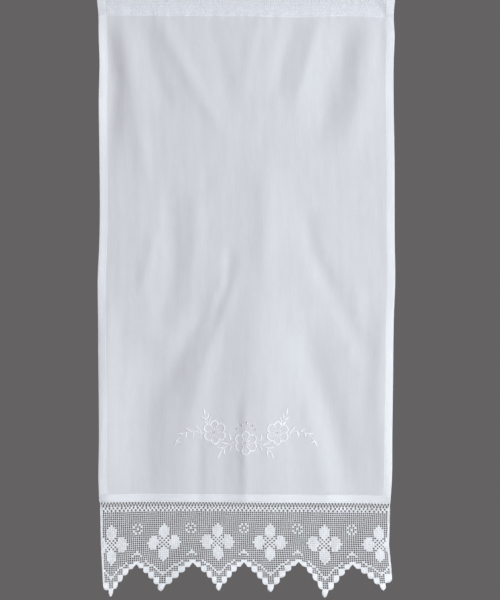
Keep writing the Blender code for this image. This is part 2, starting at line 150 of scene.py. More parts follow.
NOTCH = (13.0, 9.6)
CORNERS = ((11.5, 11.3), (9.2, 11.9), (6.5, 14.6), (3.9, 17.6), (1.4, 20.7))
LEFT_END = ((5.5, 17.8), (1.4, 21.0))
RIGHT_END = ((5.5, 15.8), (1.4, 20.2))
TIP_SHELL = ((1.3, 22.5), (0.9, 23.5), (0.0, 24.3), (-0.9, 23.5), (-1.3, 22.5))
TIP_LEANS = (-0.2, -0.5, -0.6, -0.2, -0.6, 0.3)
SHELL_SQUARENESS = 0.6
SHELL_BELLY = 0.05

# Fineness of the cloth as shown

SHEET = 0.00022
RIM_ANGLE = math.radians(50)
LAYER_STEP = 0.0003
FRONT_COLUMNS = 118
FRONT_ROWS = 184
HEM_LINES = 4
CORNER_EASE = 0.004
BELOW_SEAM = 0.0010
POCKET_RADIUS = 0.0086
CROWN_STEPS = 9
SIDE_STEPS = 10
MID_DROP = 0.5
FRONT_INSET = 0.0005
RAW_EDGE_INSET = 0.0007
FOLD_INSET = 0.0003
FOLD_ROUND = 0.00008
PUCKER = 0.00035
PUCKER_REACH = 0.014
RIPPLES_END = 1.03

# Worked threads: half the width and depth, and the share of them at even steps along the thread
Thread = namedtuple("Thread", "half_width half_depth profile")
POST_THREAD = Thread(0.00049, 0.00038, (1.15, 0.9, 0.94, 1.15))
CHAIN_THREAD = Thread(0.00047, 0.00034, (1.15, 0.92, 0.92, 1.15))
FILL_THREAD = Thread(0.00064, 0.00040, (1.06, 0.94, 1.0, 1.06))
SHELL_THREAD = Thread(0.00064, 0.00040, (1.0, 0.95, 1.0, 0.9))
SEAM_THREAD = Thread(0.00074, 0.00034, (1.1, 0.9, 0.9, 1.1))
LEG_THREAD = Thread(0.00063, 0.00040, (1.15, 0.9, 0.9, 1.15))
THREAD_SIDES = 6
SEWING_THREAD = 0.00018
SATIN_THREAD = 0.00026
SATIN_PITCH = 0.00040

# Colours, the share of light that passes into threads and cloth, the fineness of fibres in threads,
# and the share of each face of the cloth that is thread, not open weave
COTTON = (0.922, 0.942, 0.985)
# Painted shade: the hems are the same batiste as the panel, coloured darker and greyer so the layered hems
# look less bright
HEM_BATISTE_PAINTED_SHADE = (0.896, 0.910, 0.938)
SEWING_COTTON = (0.90, 0.915, 0.935)
FLOSS = (0.945, 0.957, 0.975)
CROCHET_COTTON = (0.885, 0.90, 0.93)
CLOTH_GLOW = 0.22
THREAD_GLOW = 0.12
FINE_FIBRES = 9000.0
CROCHET_FIBRES = 5000.0
PANEL_COVER = 0.39
POCKET_COVER = 0.265
HEM_COVER = 0.39
COVER_SPREAD = 0.018

TO_ROOM = np.array([0.0, -1.0, 0.0])


def smooth(t):
    """Eased step from 0 to 1."""
    t = np.clip(t, 0.0, 1.0)
    return t * t * (3.0 - 2.0 * t)


def curve_through(t, knots, values):
    """Smooth curve through a table's rows: cubic steps that keep the slope of the rows beside them."""
    t = np.asarray(t, float)
    knots = np.asarray(knots, float)
    values = np.asarray(values, float)
    slopes = np.gradient(values, knots)
    i = np.clip(np.searchsorted(knots, t, side="right") - 1, 0, len(knots) - 2)
    span = knots[i + 1] - knots[i]
    s = (t - knots[i]) / span
    ease = s * s * (3.0 - 2.0 * s)
    return (
        values[i] * (1.0 - ease)
        + values[i + 1] * ease
        + slopes[i] * span * s * (1.0 - s) ** 2
        - slopes[i + 1] * span * s**2 * (1.0 - s)
    )


def left_edge(drop):
    return curve_through(drop, [e.drop for e in EDGES], [e.left for e in EDGES])


def right_edge(drop):
    return curve_through(drop, [e.drop for e in EDGES], [e.right for e in EDGES])


def stitch_drop(x):
    return curve_through(x, [row.x for row in LEVELS], [row.stitches for row in LEVELS])


def lower_edge_drop(x):
    return curve_through(x, [row.x for row in LEVELS], [row.lower_edge for row in LEVELS])


def leg(x, drop, start, end):
    """Distance of a point from a straight leg, and how far along the leg it lies, from 0 to 1."""
    dx, dz = end[0] - start[0], end[1] - start[1]
    along = ((x - start[0]) * dx + (drop - start[1]) * dz) / (dx * dx + dz * dz)
    along = np.clip(along, 0.0, 1.0)
    return np.hypot(x - start[0] - along * dx, drop - start[1] - along * dz), along


def fold_rise(x, drop, folds=FOLDS):
    """How far the hanging cloth stands out towards the room at a point."""
    rise = 0.0
    for fold in folds:
        above, along_above = leg(x, drop, fold.start, fold.middle)
        below, along_below = leg(x, drop, fold.middle, fold.end)
        near = np.minimum(above, below)
        along = np.where(above < below, along_above / 2, (1.0 + along_below) / 2)
        fade = smooth(along / FADE_IN) * smooth((1.0 - along) / FADE_OUT)
        rise = rise + fold.rise * fade * np.exp(-((near / fold.half_width) ** 2))
    return rise


def fine_rise(x, drop):
    """Small unevenness of the light cloth: soft upright ripples and puckers below the pocket."""
    ripples = (
        0.00008 * np.sin(x * 310.0 + 2.2 * np.sin(drop * 9.0))
        + 0.00014 * np.sin(x * 151.0 + 1.7 * np.sin(drop * 13.0 + 2.0) + 1.1)
    )
    seam = np.exp(-np.abs(drop - stitch_drop(x)) / PUCKER_REACH)
    puckers = PUCKER * seam * (np.sin(x * 300.0 + 1.5 * np.sin(x * 41.0)) + 0.5 * np.sin(x * 197.0))
    return ripples * smooth((RIPPLES_END - drop) / 0.05) + puckers


def cloth_rise(x, drop):
    return fold_rise(x, drop) + fold_rise(x, drop, CREASES) + fine_rise(x, drop)


def lace_place(cell, row):
    """Where a point of the lace, counted in cells, hangs: (x, drop)."""
    cells, seam_x, heart_x, heart_drop, foot_x, foot_row, foot_drop = np.array(CONTROL_COLUMNS).T
    seam_drop = lower_edge_drop(seam_x) + GAP / 2
    cell = np.asarray(cell, float)
    row = np.asarray(row, float)
    above, below = np.minimum(row, 0.0), np.maximum(row, 0.0)

    def over(values):
        return curve_through(cell, cells, values)

    x = (
        over(heart_x)
        + above * over((seam_x - heart_x) / SEAM_ROW)
        + below * over((foot_x - heart_x) / foot_row)
    )
    drop = (
        over(heart_drop)
        + above * over((seam_drop - heart_drop) / SEAM_ROW)
        + below * over((foot_drop - heart_drop) / foot_row)
    )
    return x, drop


def lace_points(cell, row, lift=0.0):
    """The same as points in space. A lift stands out towards the room."""
    x, drop = lace_place(cell, row)
    return np.stack([x, -fold_rise(x, drop) - lift, -drop], axis=-1)


# Meshes from arrays


def mesh_object(name, points, faces, material):
    """An object from an array of points and an array of faces that all have as many corners."""
    mesh = bpy.data.meshes.new(name)
    mesh.vertices.add(len(points))
    mesh.vertices.foreach_set("co", np.asarray(points, np.float32).ravel())
    mesh.loops.add(faces.size)
    mesh.loops.foreach_set("vertex_index", np.asarray(faces, np.int32).ravel())
    mesh.polygons.add(len(faces))
    starts = np.arange(0, faces.size, faces.shape[1], dtype=np.int32)
    mesh.polygons.foreach_set("loop_start", starts)
    mesh.update(calc_edges=True)
    mesh.shade_smooth()
    mesh.materials.append(material)
    made = bpy.data.objects.new(name, mesh)
    bpy.context.scene.collection.objects.link(made)
    return made


def grid_faces(rows, columns):
    """Quads of a grid whose points are numbered row by row."""
    corner = np.arange((rows - 1) * columns).reshape(rows - 1, columns)[:, :-1]
    return np.stack([corner, corner + 1, corner + columns + 1, corner + columns], -1).reshape(-1, 4)


def baked(made):
    """Applies an object's modifiers, and keeps the rims of its sheet sharp in the shading."""
    bpy.context.view_layer.update()
    evaluated = made.evaluated_get(bpy.context.evaluated_depsgraph_get())
    made.data = bpy.data.meshes.new_from_object(evaluated)
    made.modifiers.clear()
    made.data.set_sharp_from_angle(angle=RIM_ANGLE)


def sheet_object(name, points, material):
    """A thin cloth from a grid of its middle points."""
    rows, columns = points.shape[:2]
    made = mesh_object(name, points.reshape(-1, 3), grid_faces(rows, columns), material)
    thickness = made.modifiers.new("thickness", "SOLIDIFY")
    thickness.thickness = SHEET
    thickness.offset = 0.0
    return made


def tubes(paths, half_width, half_depth, sides=4):
    """Closed tubes along paths: (count, steps, 3) points. One flat side of each faces the room.
    Gives points and triangles."""
    count, steps = paths.shape[:2]
    along = paths[:, -1] - paths[:, 0]
    along /= np.linalg.norm(along, axis=1, keepdims=True)
    across = np.cross(along, TO_ROOM)
    across /= np.linalg.norm(across, axis=1, keepdims=True)
    outward = np.cross(across, along)
    angles = math.pi / 2 + (2 * np.arange(sides) - 1) * math.pi / sides
    half_width = np.broadcast_to(half_width, steps)[:, None, None] * np.cos(angles)[:, None]
    half_depth = np.broadcast_to(half_depth, steps)[:, None, None] * np.sin(angles)[:, None]
    ring = across[:, None, None] * half_width + outward[:, None, None] * half_depth
    points = paths[:, :, None] + ring
    first = (np.arange(count) * steps * sides)[:, None, None]
    step = (np.arange(steps - 1) * sides)[None, :, None]
    side = np.arange(sides)[None, None, :]
    after = (side + 1) % sides
    a, b = first + step + side, first + step + after
    walls = np.stack([a, b + sides, b, a, a + sides, b + sides], -1).reshape(-1, 3)
    fan = np.arange(1, sides - 1)
    start = np.stack([np.zeros_like(fan), fan, fan + 1], -1)
    end = np.stack([np.zeros_like(fan), fan + 1, fan], -1) + (steps - 1) * sides
    caps = np.concatenate([start, end])[None] + first
    return points.reshape(-1, 3), np.concatenate([walls, caps.reshape(-1, 3)])


def worked_threads(starts, ends, thread):
    """Straight worked threads from starts to ends, as points and triangles."""
    t = np.linspace(0.0, 1.0, len(thread.profile))
    paths = starts[:, None] + (ends - starts)[:, None] * t[:, None]
    size = np.array(thread.profile)
    return tubes(paths, thread.half_width * size, thread.half_depth * size, THREAD_SIDES)


def joined(parts):
    """One pair of points and faces from several."""
    points, faces, before = [], [], 0
    for part_points, part_faces in parts:
        points.append(part_points)
        faces.append(part_faces + before)
        before += len(part_points)
    return np.concatenate(points), np.concatenate(faces)


# Materials


def new_material(name):
    made = bpy.data.materials.new(name)
    made.use_nodes = True
    tree = made.node_tree
    return made, tree, tree.nodes["Principled BSDF"]


def fill(tree, socket, value):
    """Links another node's socket to this one, or sets this one to a value."""
    if isinstance(value, bpy.types.NodeSocket):
        tree.links.new(value, socket)
    else:
        socket.default_value = value


def fill_inputs(tree, node, **inputs):
    """Fills a node's inputs. Each is named by its socket, with _ for a space."""
    for key, value in inputs.items():
        fill(tree, node.inputs[key.replace("_", " ")], value)


def linked(tree, kind, **inputs):
    """A new node with inputs filled by name."""
    node = tree.nodes.new(kind)
    fill_inputs(tree, node, **inputs)
    return node


def in_order(tree, kind, *values):
    """A new node with its inputs filled from the first on."""
    node = tree.nodes.new(kind)
    for socket, value in zip(node.inputs, values):
        fill(tree, socket, value)
    return node


def maths(tree, operation, *values):
    node = in_order(tree, "ShaderNodeMath", *values)
    node.operation = operation
    return node.outputs["Value"]


def mixed(tree, share, first, second):
    """Two shaders mixed, by the share of the second."""
    return in_order(tree, "ShaderNodeMixShader", share, first, second).outputs["Shader"]


def stretched_noise(tree, where, scale, detail):
    """Noise in the object's own space, stretched by a scale for each axis, from 0 to 1."""
    mapping = linked(tree, "ShaderNodeMapping", Vector=where, Scale=scale)
    noise = linked(tree, "ShaderNodeTexNoise", Vector=mapping.outputs["Vector"], Scale=1.0, Detail=detail)
    return noise.outputs["Fac"]


def set_tone(tree, shader, clouds, colour, darkest):
    """The base colour, which clouds darken down to a share of it."""
    tone = linked(tree, "ShaderNodeMix", Factor=clouds)
    tone.data_type = "RGBA"
    tone.inputs[6].default_value = tuple(darkest * c for c in colour) + (1.0,)
    tone.inputs[7].default_value = (*colour, 1.0)
    tree.links.new(tone.outputs[2], shader.inputs["Base Color"])


def woven_cotton(name, colour, cover):
    """Sheer plain weave: slubbed threads, small gaps that let the background through, a soft glow."""
    made, tree, shader = new_material(name)
    where = tree.nodes.new("ShaderNodeTexCoord").outputs["Object"]
    warp_slubs = stretched_noise(tree, where, (900.0, 900.0, 26.0), 3.0)
    weft_slubs = stretched_noise(tree, where, (16.0, 16.0, 800.0), 3.0)
    clouds = stretched_noise(tree, where, (16.0, 16.0, 6.0), 3.0)
    slubs = maths(tree, "MULTIPLY_ADD", weft_slubs, 0.3, warp_slubs)
    spread = linked(tree, "ShaderNodeMapRange", Value=slubs, From_Min=0.35, From_Max=0.95)
    density = spread.outputs["Result"]
    set_tone(tree, shader, clouds, colour, 0.985)
    fill_inputs(tree, shader, Roughness=0.92, Specular_IOR_Level=0.25, Sheen_Weight=0.15, Sheen_Roughness=0.6)

    threads = []
    for direction in ("X", "Z"):
        wave = linked(tree, "ShaderNodeTexWave", Vector=where, Scale=700.0, Distortion=1.5)
        fill_inputs(tree, wave, Detail=1.0, Detail_Scale=0.4)
        wave.bands_direction = direction
        threads.append(wave.outputs["Fac"])
    height = maths(tree, "ADD", maths(tree, "MAXIMUM", *threads), density)
    crumples = stretched_noise(tree, where, (30.0, 30.0, 19.0), 2.0)
    crumpled = linked(tree, "ShaderNodeBump", Strength=1.0, Distance=0.0018, Height=crumples)
    bump = linked(tree, "ShaderNodeBump", Strength=0.35, Distance=0.00006, Height=height)
    fill_inputs(tree, bump, Normal=crumpled.outputs["Normal"])
    fill_inputs(tree, shader, Normal=bump.outputs["Normal"])

    glow = linked(tree, "ShaderNodeBsdfTranslucent", Color=(*colour, 1.0), Normal=bump.outputs["Normal"])
    cloth = mixed(tree, CLOTH_GLOW, shader.outputs["BSDF"], glow.outputs["BSDF"])
    open_weave = tree.nodes.new("ShaderNodeBsdfTransparent").outputs["BSDF"]
    seen = linked(tree, "ShaderNodeMapRange", Value=density)
    fill_inputs(tree, seen, To_Min=cover - COVER_SPREAD, To_Max=cover + COVER_SPREAD)
    surface = mixed(tree, seen.outputs["Result"], open_weave, cloth)
    fill_inputs(tree, tree.nodes["Material Output"], Surface=surface)
    return made


def cotton_thread(name, colour, fibre_scale):
    """Matt spun cotton with a fine fibrous surface and a little light through it."""
    made, tree, shader = new_material(name)
    where = tree.nodes.new("ShaderNodeTexCoord").outputs["Object"]
    fibres = stretched_noise(tree, where, (fibre_scale,) * 3, 3.0)
    clouds = stretched_noise(tree, where, (60.0, 60.0, 60.0), 2.0)
    set_tone(tree, shader, clouds, colour, 0.95)
    bump = linked(tree, "ShaderNodeBump", Strength=0.4, Distance=0.00005, Height=fibres)
    fill_inputs(tree, shader, Roughness=0.85, Specular_IOR_Level=0.3, Sheen_Weight=0.1)
    fill_inputs(tree, shader, Normal=bump.outputs["Normal"])
    glow = linked(tree, "ShaderNodeBsdfTranslucent", Color=(*colour, 1.0))
    surface = mixed(tree, THREAD_GLOW, shader.outputs["BSDF"], glow.outputs["BSDF"])
    fill_inputs(tree, tree.nodes["Material Output"], Surface=surface)
    return made


# The cloth: hems are folded twice to the back. Layer 0 is the front, 1 the turned-in edge of a hem
# and 2 the hem's outer layer.


def hem_lines(depth):
    """Lines of a hem from its raw edge to the fold at the cloth's edge: (inset, layer)."""
    raw = [(inset, 1.0) for inset in np.linspace(RAW_EDGE_INSET, depth - FOLD_INSET, HEM_LINES)]
    outer = [(inset, 2.0) for inset in np.linspace(depth - FOLD_INSET, FOLD_INSET, HEM_LINES)]
    return raw + [(depth, 1.5)] + outer + [(FOLD_ROUND, 1.6), (0.0, 1.0), (FOLD_ROUND, 0.4)]


def across_lines():
    """Lines across the curtain: (share of the width, inset from the nearer side edge, layer)."""
    width = float(right_edge(MID_DROP) - left_edge(MID_DROP))
    hem = hem_lines(SIDE_HEM)
    left = [(inset / width, inset, layer) for inset, layer in hem]
    right = [(1.0 - share, inset, layer) for share, inset, layer in reversed(left)]
    front = []
    for place in np.linspace(FRONT_INSET, width - FRONT_INSET, FRONT_COLUMNS):
        front.append((place / width, min(place, width - place), 0.0))
    return np.array(left + front + right)


def in_side_hem(inset):
    """1 within a side hem, easing to 0 just inside of it."""
    return smooth((SIDE_HEM + CORNER_EASE - inset) / CORNER_EASE)


def upward_lines():
    """Lines up the panel: (height above its lower edge, layer)."""
    height = float(lower_edge_drop(0.0) - stitch_drop(0.0))
    front = [(up, 0.0) for up in np.linspace(FRONT_INSET, height, FRONT_ROWS)]
    return np.array(hem_lines(BOTTOM_HEM) + front)


def panel_points():
    """Middle points of the panel's cloth, from the raw edge of its bottom hem up to the pocket."""
    share, inset, side_layer = across_lines().T
    up, layer = upward_lines().T
    x = left_edge(MID_DROP) + (right_edge(MID_DROP) - left_edge(MID_DROP)) * share
    drop = lower_edge_drop(x) + (stitch_drop(x) - lower_edge_drop(x)) * (up / up[-1])[:, None]
    x = left_edge(drop) + (right_edge(drop) - left_edge(drop)) * share
    side = side_layer * LAYER_STEP
    corner = in_side_hem(inset)
    tucked = LAYER_STEP + 2 * LAYER_STEP * corner
    outer = 2 * LAYER_STEP + 6 * LAYER_STEP * corner
    layer = layer[:, None]
    depth = np.where(layer < 1, tucked * layer, tucked + (outer - tucked) * (layer - 1))
    facing = np.where(layer < 1, 1.0, 3.0 - 2.0 * layer)
    y = -cloth_rise(x, drop) + depth + facing * side
    return np.stack([x, y, -drop], axis=-1)


def cut_eyelets(panel):
    """Punches the round holes of the embroidery through the cloth."""
    sides = PUNCH_SIDES
    angle = np.arange(sides) * 2 * math.pi / sides
    ring = np.stack([np.cos(angle), np.zeros(sides), np.sin(angle)], axis=-1) * EYELET_RADIUS / 1000
    points, faces = [], []
    for across, up in EYELETS + tuple((flower.across, flower.up) for flower in FLOWERS):
        middle = motif_points(across, up, 0.0)
        first = len(points)
        points.extend(middle + ring + [0.0, -PUNCH_REACH, 0.0])
        points.extend(middle + ring + [0.0, PUNCH_REACH, 0.0])
        front = list(range(first, first + sides))
        faces.append(front)
        faces.append([corner + sides for corner in reversed(front)])
        for corner in range(sides):
            after = (corner + 1) % sides
            faces.append([first + after, first + corner, first + corner + sides, first + after + sides])
    punch_mesh = bpy.data.meshes.new("punch")
    punch_mesh.from_pydata([tuple(point) for point in points], [], faces)
    punch = bpy.data.objects.new("punch", punch_mesh)
    bpy.context.scene.collection.objects.link(punch)
    cut = panel.modifiers.new("eyelets", "BOOLEAN")
    cut.operation = "DIFFERENCE"
    cut.solver = "EXACT"
    cut.object = punch
    baked(panel)
    bpy.data.objects.remove(punch)


def halfway(values):
    return (values[1:] + values[:-1]) / 2


def set_hems(sheet, rows_in_hem, material):
    """Gives the faces of a sheet's side hems, and of the rows named, the hems' material: the same batiste,
    with painted shade in its darker colour.
    """
    in_side = halfway(across_lines()[:, 1]) < SIDE_HEM
    in_hem = rows_in_hem[:, None] | in_side[None, :]
    sheet.data.materials.append(material)
    sheet.data.polygons.foreach_set("material_index", in_hem.ravel().astype(np.int32))


def make_panel(material, painted_shade_hem_material):
    panel = sheet_object("panel_cloth", panel_points(), material)
    set_hems(panel, halfway(upward_lines()[:, 0]) < BOTTOM_HEM, painted_shade_hem_material)
    cut_eyelets(panel)
    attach(panel, "root")
    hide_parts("panel")
    return panel


PocketRow = namedtuple("PocketRow", "depth share gap side inward_y inward_z below tucked")


def pocket_rows():
    """The pocket's cloth from the front seam over the crown to the back, then turned in and up."""
    crown, wall = [], []
    for step in range(CROWN_STEPS + 1):
        angle = math.pi / 2 * step / CROWN_STEPS
        crown.append((POCKET_RADIUS * (1 - math.cos(angle)), 0.0, math.sin(angle), math.cos(angle)))
    for step in range(1, SIDE_STEPS + 1):
        share = step / SIDE_STEPS
        wall.append((POCKET_RADIUS, share, 1.0 - float(smooth(share)), 0.0))
    half = crown + wall
    rows = []
    for depth, share, gap, up in reversed(half):
        rows.append(PocketRow(depth, share, gap, -1.0, math.sqrt(1 - up * up), -up, 0.0, 0.0))
    for depth, share, gap, up in half[1:]:
        rows.append(PocketRow(depth, share, gap, 1.0, -math.sqrt(1 - up * up), -up, 0.0, 0.0))
    for below in (0.5, 0.92):
        rows.append(PocketRow(POCKET_RADIUS, 1.0, 0.0, 1.0, -1.0, 0.0, below * BELOW_SEAM, 0.0))
    rows.append(PocketRow(POCKET_RADIUS, 1.0, 0.0, 1.0, 0.0, 0.0, BELOW_SEAM, 0.5))
    rows.append(PocketRow(POCKET_RADIUS, 1.0, 0.0, 1.0, 1.0, 0.0, 0.92 * BELOW_SEAM, 1.0))
    for depth, share, gap, up in reversed(wall[2:]):
        rows.append(PocketRow(depth, share, gap, 1.0, 1.0, 0.0, 0.0, 1.0))
    return rows


def pocket_points():
    """Middle points of the pocket's cloth."""
    share, inset, side_layer = across_lines().T
    corner = in_side_hem(inset)
    seam_gap = LAYER_STEP + 3 * LAYER_STEP * corner
    tuck_step = LAYER_STEP + 4 * LAYER_STEP * corner
    top = CLOTH / 2
    points = []
    for row in pocket_rows():
        x = left_edge(0.02) + (right_edge(0.02) - left_edge(0.02)) * share
        seam = stitch_drop(x)
        drop = top + row.depth + (seam - top - POCKET_RADIUS) * row.share + row.below
        x = left_edge(drop) + (right_edge(drop) - left_edge(drop)) * share
        lower = np.clip(drop / seam, 0.0, 1.0) ** 2
        crowned = row.gap * POCKET_RADIUS + (1.0 - row.gap) * seam_gap * (row.share > 0)
        y = row.side * crowned - (cloth_rise(x, np.maximum(seam, drop)) - seam_gap) * lower
        y = y - row.tucked * tuck_step
        side = side_layer * LAYER_STEP
        points.append(np.stack([x, y + row.inward_y * side, -drop + row.inward_z * side], axis=-1))
    return np.array(points)


def make_pocket(material, painted_shade_hem_material):
    points = pocket_points()
    pocket = sheet_object("pocket_cloth", points, material)
    set_hems(pocket, np.zeros(len(points) - 1, bool), painted_shade_hem_material)
    baked(pocket)
    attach(pocket, "root")
    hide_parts("rod_pocket")
    return pocket


# Sewing. A line of stitches runs from one value to another in so many points: drops at the sides, x
# along the bottom hem and the pocket.

STITCH = 0.0023
STITCH_GAP = 0.0007
STITCH_INSET = 0.0012
STITCH_BOW = 0.00024
ABOVE_SEAM = 0.0004
SIDE_LINE = (0.046, 0.996, 400)
BOTTOM_LINE = (-0.2925, 0.2868, 300)
POCKET_LINE = (-0.2945, 0.2930, 300)


def front_points(x, drop, lift):
    """Points a lift in front of the middle of the hanging cloth."""
    return np.stack([x, -cloth_rise(x, drop) - lift, -drop], axis=-1)


def stitch_row(x, drop, lifts):
    """Running stitches along a dense line of points: x, drop and lift at the steps of each stitch."""
    length = np.concatenate([[0.0], np.cumsum(np.hypot(np.diff(x), np.diff(drop)))])
    starts = np.arange(0.0, length[-1] - STITCH, STITCH + STITCH_GAP)
    t = np.linspace(0.0, 1.0, len(lifts))
    at = starts[:, None] + STITCH * t
    xs = np.interp(at, length, x)
    drops = np.interp(at, length, drop)
    return xs, drops, np.broadcast_to(lifts, at.shape)


def make_stitches(material):
    """The rows of stitches that hold the side hems, the bottom hem and the pocket, on both faces."""
    lines = []
    drop = np.linspace(*SIDE_LINE)
    for edge, way in ((left_edge, 1.0), (right_edge, -1.0)):
        lines.append((edge(drop) + way * (SIDE_HEM - STITCH_INSET), drop))
    x = np.linspace(*BOTTOM_LINE)
    lines.append((x, lower_edge_drop(x) - BOTTOM_HEM + STITCH_INSET))
    x = np.linspace(*POCKET_LINE)
    lines.append((x, stitch_drop(x) - ABOVE_SEAM))
    bow = np.array([0.0, STITCH_BOW, 0.0])
    paths = []
    for line_x, line_drop in lines:
        xs, drops, lifts = stitch_row(line_x, line_drop, bow)
        paths.append(front_points(xs, drops, lifts))
        behind = 3 * LAYER_STEP + lifts
        paths.append(front_points(xs, drops, -behind))
    paths = np.concatenate(paths)
    points, faces = tubes(paths, SEWING_THREAD, SEWING_THREAD)
    stitches = mesh_object("hem_stitches", points, faces, material)
    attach(stitches, "root")


# Embroidery: a spray of three flowers in satin stitch. Places are in millimetres from the heart of
# the middle flower, across and up.

MOTIF_X = -0.0018
MOTIF_DROP = 0.893
Flower = namedtuple("Flower", "across up turn")
FLOWERS = (Flower(-62.2, 21.4, 2.0), Flower(0.0, 0.0, 0.0), Flower(63.6, 20.0, -2.0))
Petal = namedtuple("Petal", "angle length half_width")
PETALS = (
    Petal(90.0, 23.4, 7.0),
    Petal(33.0, 23.8, 8.3),
    Petal(-33.0, 23.8, 8.3),
    Petal(-90.0, 24.6, 7.2),
    Petal(-147.0, 23.8, 8.3),
    Petal(147.0, 23.8, 8.3),
)
LOBE_CENTRE = 0.66
SATIN_WIDTH = 2.5
VEIN = (4.6, 10.0)
VEIN_WIDTH = 1.2
SEAM_FOOT = 4.2
SEAM_WIDTH = 0.8
EYELETS = ((-18.4, 28.0), (-8.2, 35.0), (1.6, 40.0), (13.8, 34.2), (20.6, 26.4))
EYELET_RADIUS = 1.4
EYELET_RIM = 2.4
PUNCH_SIDES = 16
PUNCH_REACH = 0.004
Leaf = namedtuple("Leaf", "foot_across foot_up tip_across tip_up")
LEAVES = (
    Leaf(-82.0, 56.5, -83.3, 68.5),
    Leaf(-78.0, 45.5, -86.8, 52.0),
    Leaf(-76.0, 48.0, -75.0, 58.5),
    Leaf(-72.5, 40.5, -69.6, 51.0),
    Leaf(-74.5, 37.5, -82.5, 42.0),
    Leaf(-88.0, 15.0, -91.9, 26.6),
    Leaf(-93.0, 24.6, -99.9, 33.0),
    Leaf(-103.2, 22.6, -105.8, 10.8),
    Leaf(-108.0, 21.6, -120.2, 28.8),
    Leaf(-118.2, 20.6, -119.9, 8.6),
    Leaf(-124.0, 18.0, -136.4, 17.8),
    Leaf(-137.0, 4.4, -143.3, -8.8),
    Leaf(-138.0, 5.0, -130.9, -1.6),
    Leaf(-29.5, 4.6, -32.3, 17.8),
    Leaf(-33.8, -3.6, -49.6, 0.8),
    Leaf(-29.0, -5.6, -32.4, -17.2),
    Leaf(-42.6, -10.4, -56.6, -9.4),
    Leaf(-42.6, -13.0, -43.6, -25.2),
    Leaf(-51.0, -19.6, -56.2, -32.8),
)
LEAF_WIDTH = 2.5
SATIN_HEIGHT = 0.00052
SATIN_END_HEIGHT = 0.00030
SEAM_HEIGHT = 0.0005
STEM_HEIGHT = 0.00045
STEM_HALF_WIDTH = 0.34
STEM_PITCH_SHARE = 1.2
STEM_SLANT = 1.2
STEMS = (
    ((-66.0, 39.0), (-73.5, 41.0), (-78.0, 48.0), (-82.0, 57.0)),
    ((-80.0, 19.0), (-91.0, 20.5), (-103.0, 23.5), (-115.0, 21.5), (-126.0, 17.0), (-137.5, 5.0)),
    ((-21.5, 1.0), (-29.5, -2.5), (-38.0, -7.0), (-46.0, -13.5), (-52.0, -21.0)),
)


def motif_points(across, up, lift):
    """Points on the front of the cloth from places in millimetres within the motif."""
    x = MOTIF_X + np.asarray(across) / 1000
    drop = MOTIF_DROP - np.asarray(up) / 1000
    return front_points(x, drop, lift)


def satin(middle, half, height=SATIN_HEIGHT):
    """Satin stitches across a line: middle points and half widths as (count, 2) arrays of places."""
    t = np.array([-1.0, 0.0, 1.0])
    lift = np.array([SATIN_END_HEIGHT, height, SATIN_END_HEIGHT])
    across = middle[:, None, 0] + half[:, None, 0] * t
    up = middle[:, None, 1] + half[:, None, 1] * t
    return motif_points(across, up, np.broadcast_to(lift, across.shape))


def evenly(line, pitch):
    """Points at an even pitch along a line of places, with the line's direction at each."""
    length = np.concatenate([[0.0], np.cumsum(np.hypot(*np.diff(line, axis=0).T))])
    count = max(2, int(round(length[-1] / pitch)))
    at = (np.arange(count) + 0.5) * length[-1] / count
    points = np.stack([np.interp(at, length, line[:, k]) for k in (0, 1)], axis=-1)
    ahead = np.stack([np.interp(at + 0.2, length, line[:, k]) for k in (0, 1)], axis=-1)
    behind = np.stack([np.interp(at - 0.2, length, line[:, k]) for k in (0, 1)], axis=-1)
    direction = ahead - behind
    return points, direction / np.linalg.norm(direction, axis=1, keepdims=True)


def turned(direction, slant=0.0):
    """Directions crosswise to the given ones, leaning along them by a slant."""
    return np.stack([-direction[:, 1], direction[:, 0]], axis=-1) + slant * direction


def in_petal(flower, petal, along, aside):
    """Places in the motif from places along a petal and aside from its middle line."""
    angle = math.radians(petal.angle + flower.turn)
    across = flower.across + along * math.cos(angle) - aside * math.sin(angle)
    up = flower.up + along * math.sin(angle) + aside * math.cos(angle)
    return np.stack([across, up], axis=-1)


def petal_stitches(flower, petal):
    """A petal's round outline, the thin line down to the heart and the vein."""
    phase = np.linspace(-0.56, 0.56, 49) * math.pi
    centre = LOBE_CENTRE * petal.length
    reach = petal.length - SATIN_WIDTH / 2 - centre
    along = centre + reach * np.cos(phase)
    lobe = in_petal(flower, petal, along, petal.half_width * np.sin(phase))
    middle, direction = evenly(lobe, SATIN_PITCH * 1000)
    stitches = [satin(middle, turned(direction) * SATIN_WIDTH / 2)]
    foot = petal.half_width * SEAM_FOOT / centre
    side = np.linspace(0.0, 1.0, 9)
    seam = in_petal(flower, petal, along[-1] + (SEAM_FOOT - along[-1]) * side,
                    petal.half_width * 0.98 + (foot - petal.half_width * 0.98) * side**1.2)
    middle, direction = evenly(seam, SATIN_PITCH * 1000)
    stitches.append(satin(middle, turned(direction, 0.5) * SEAM_WIDTH / 2, SEAM_HEIGHT))
    vein = in_petal(flower, petal, np.linspace(*VEIN, 9), np.zeros(9))
    middle, direction = evenly(vein, SATIN_PITCH * 1000)
    share = (np.arange(len(middle)) + 0.5) / len(middle)
    half = VEIN_WIDTH / 2 * np.sin(math.pi * (0.15 + 0.8 * share)) ** 0.7
    stitches.append(satin(middle, turned(direction, 0.3) * half[:, None]))
    return np.concatenate(stitches)


def ring_stitches(across, up):
    """Radial stitches round an eyelet."""
    count = int(2 * math.pi * EYELET_RIM / (SATIN_PITCH * 1000))
    angle = np.arange(count) * 2 * math.pi / count
    outward = np.stack([np.cos(angle), np.sin(angle)], axis=-1)
    middle = np.array([across, up]) + outward * (EYELET_RADIUS + EYELET_RIM) / 2
    return satin(middle, outward * (EYELET_RIM - EYELET_RADIUS) / 2)


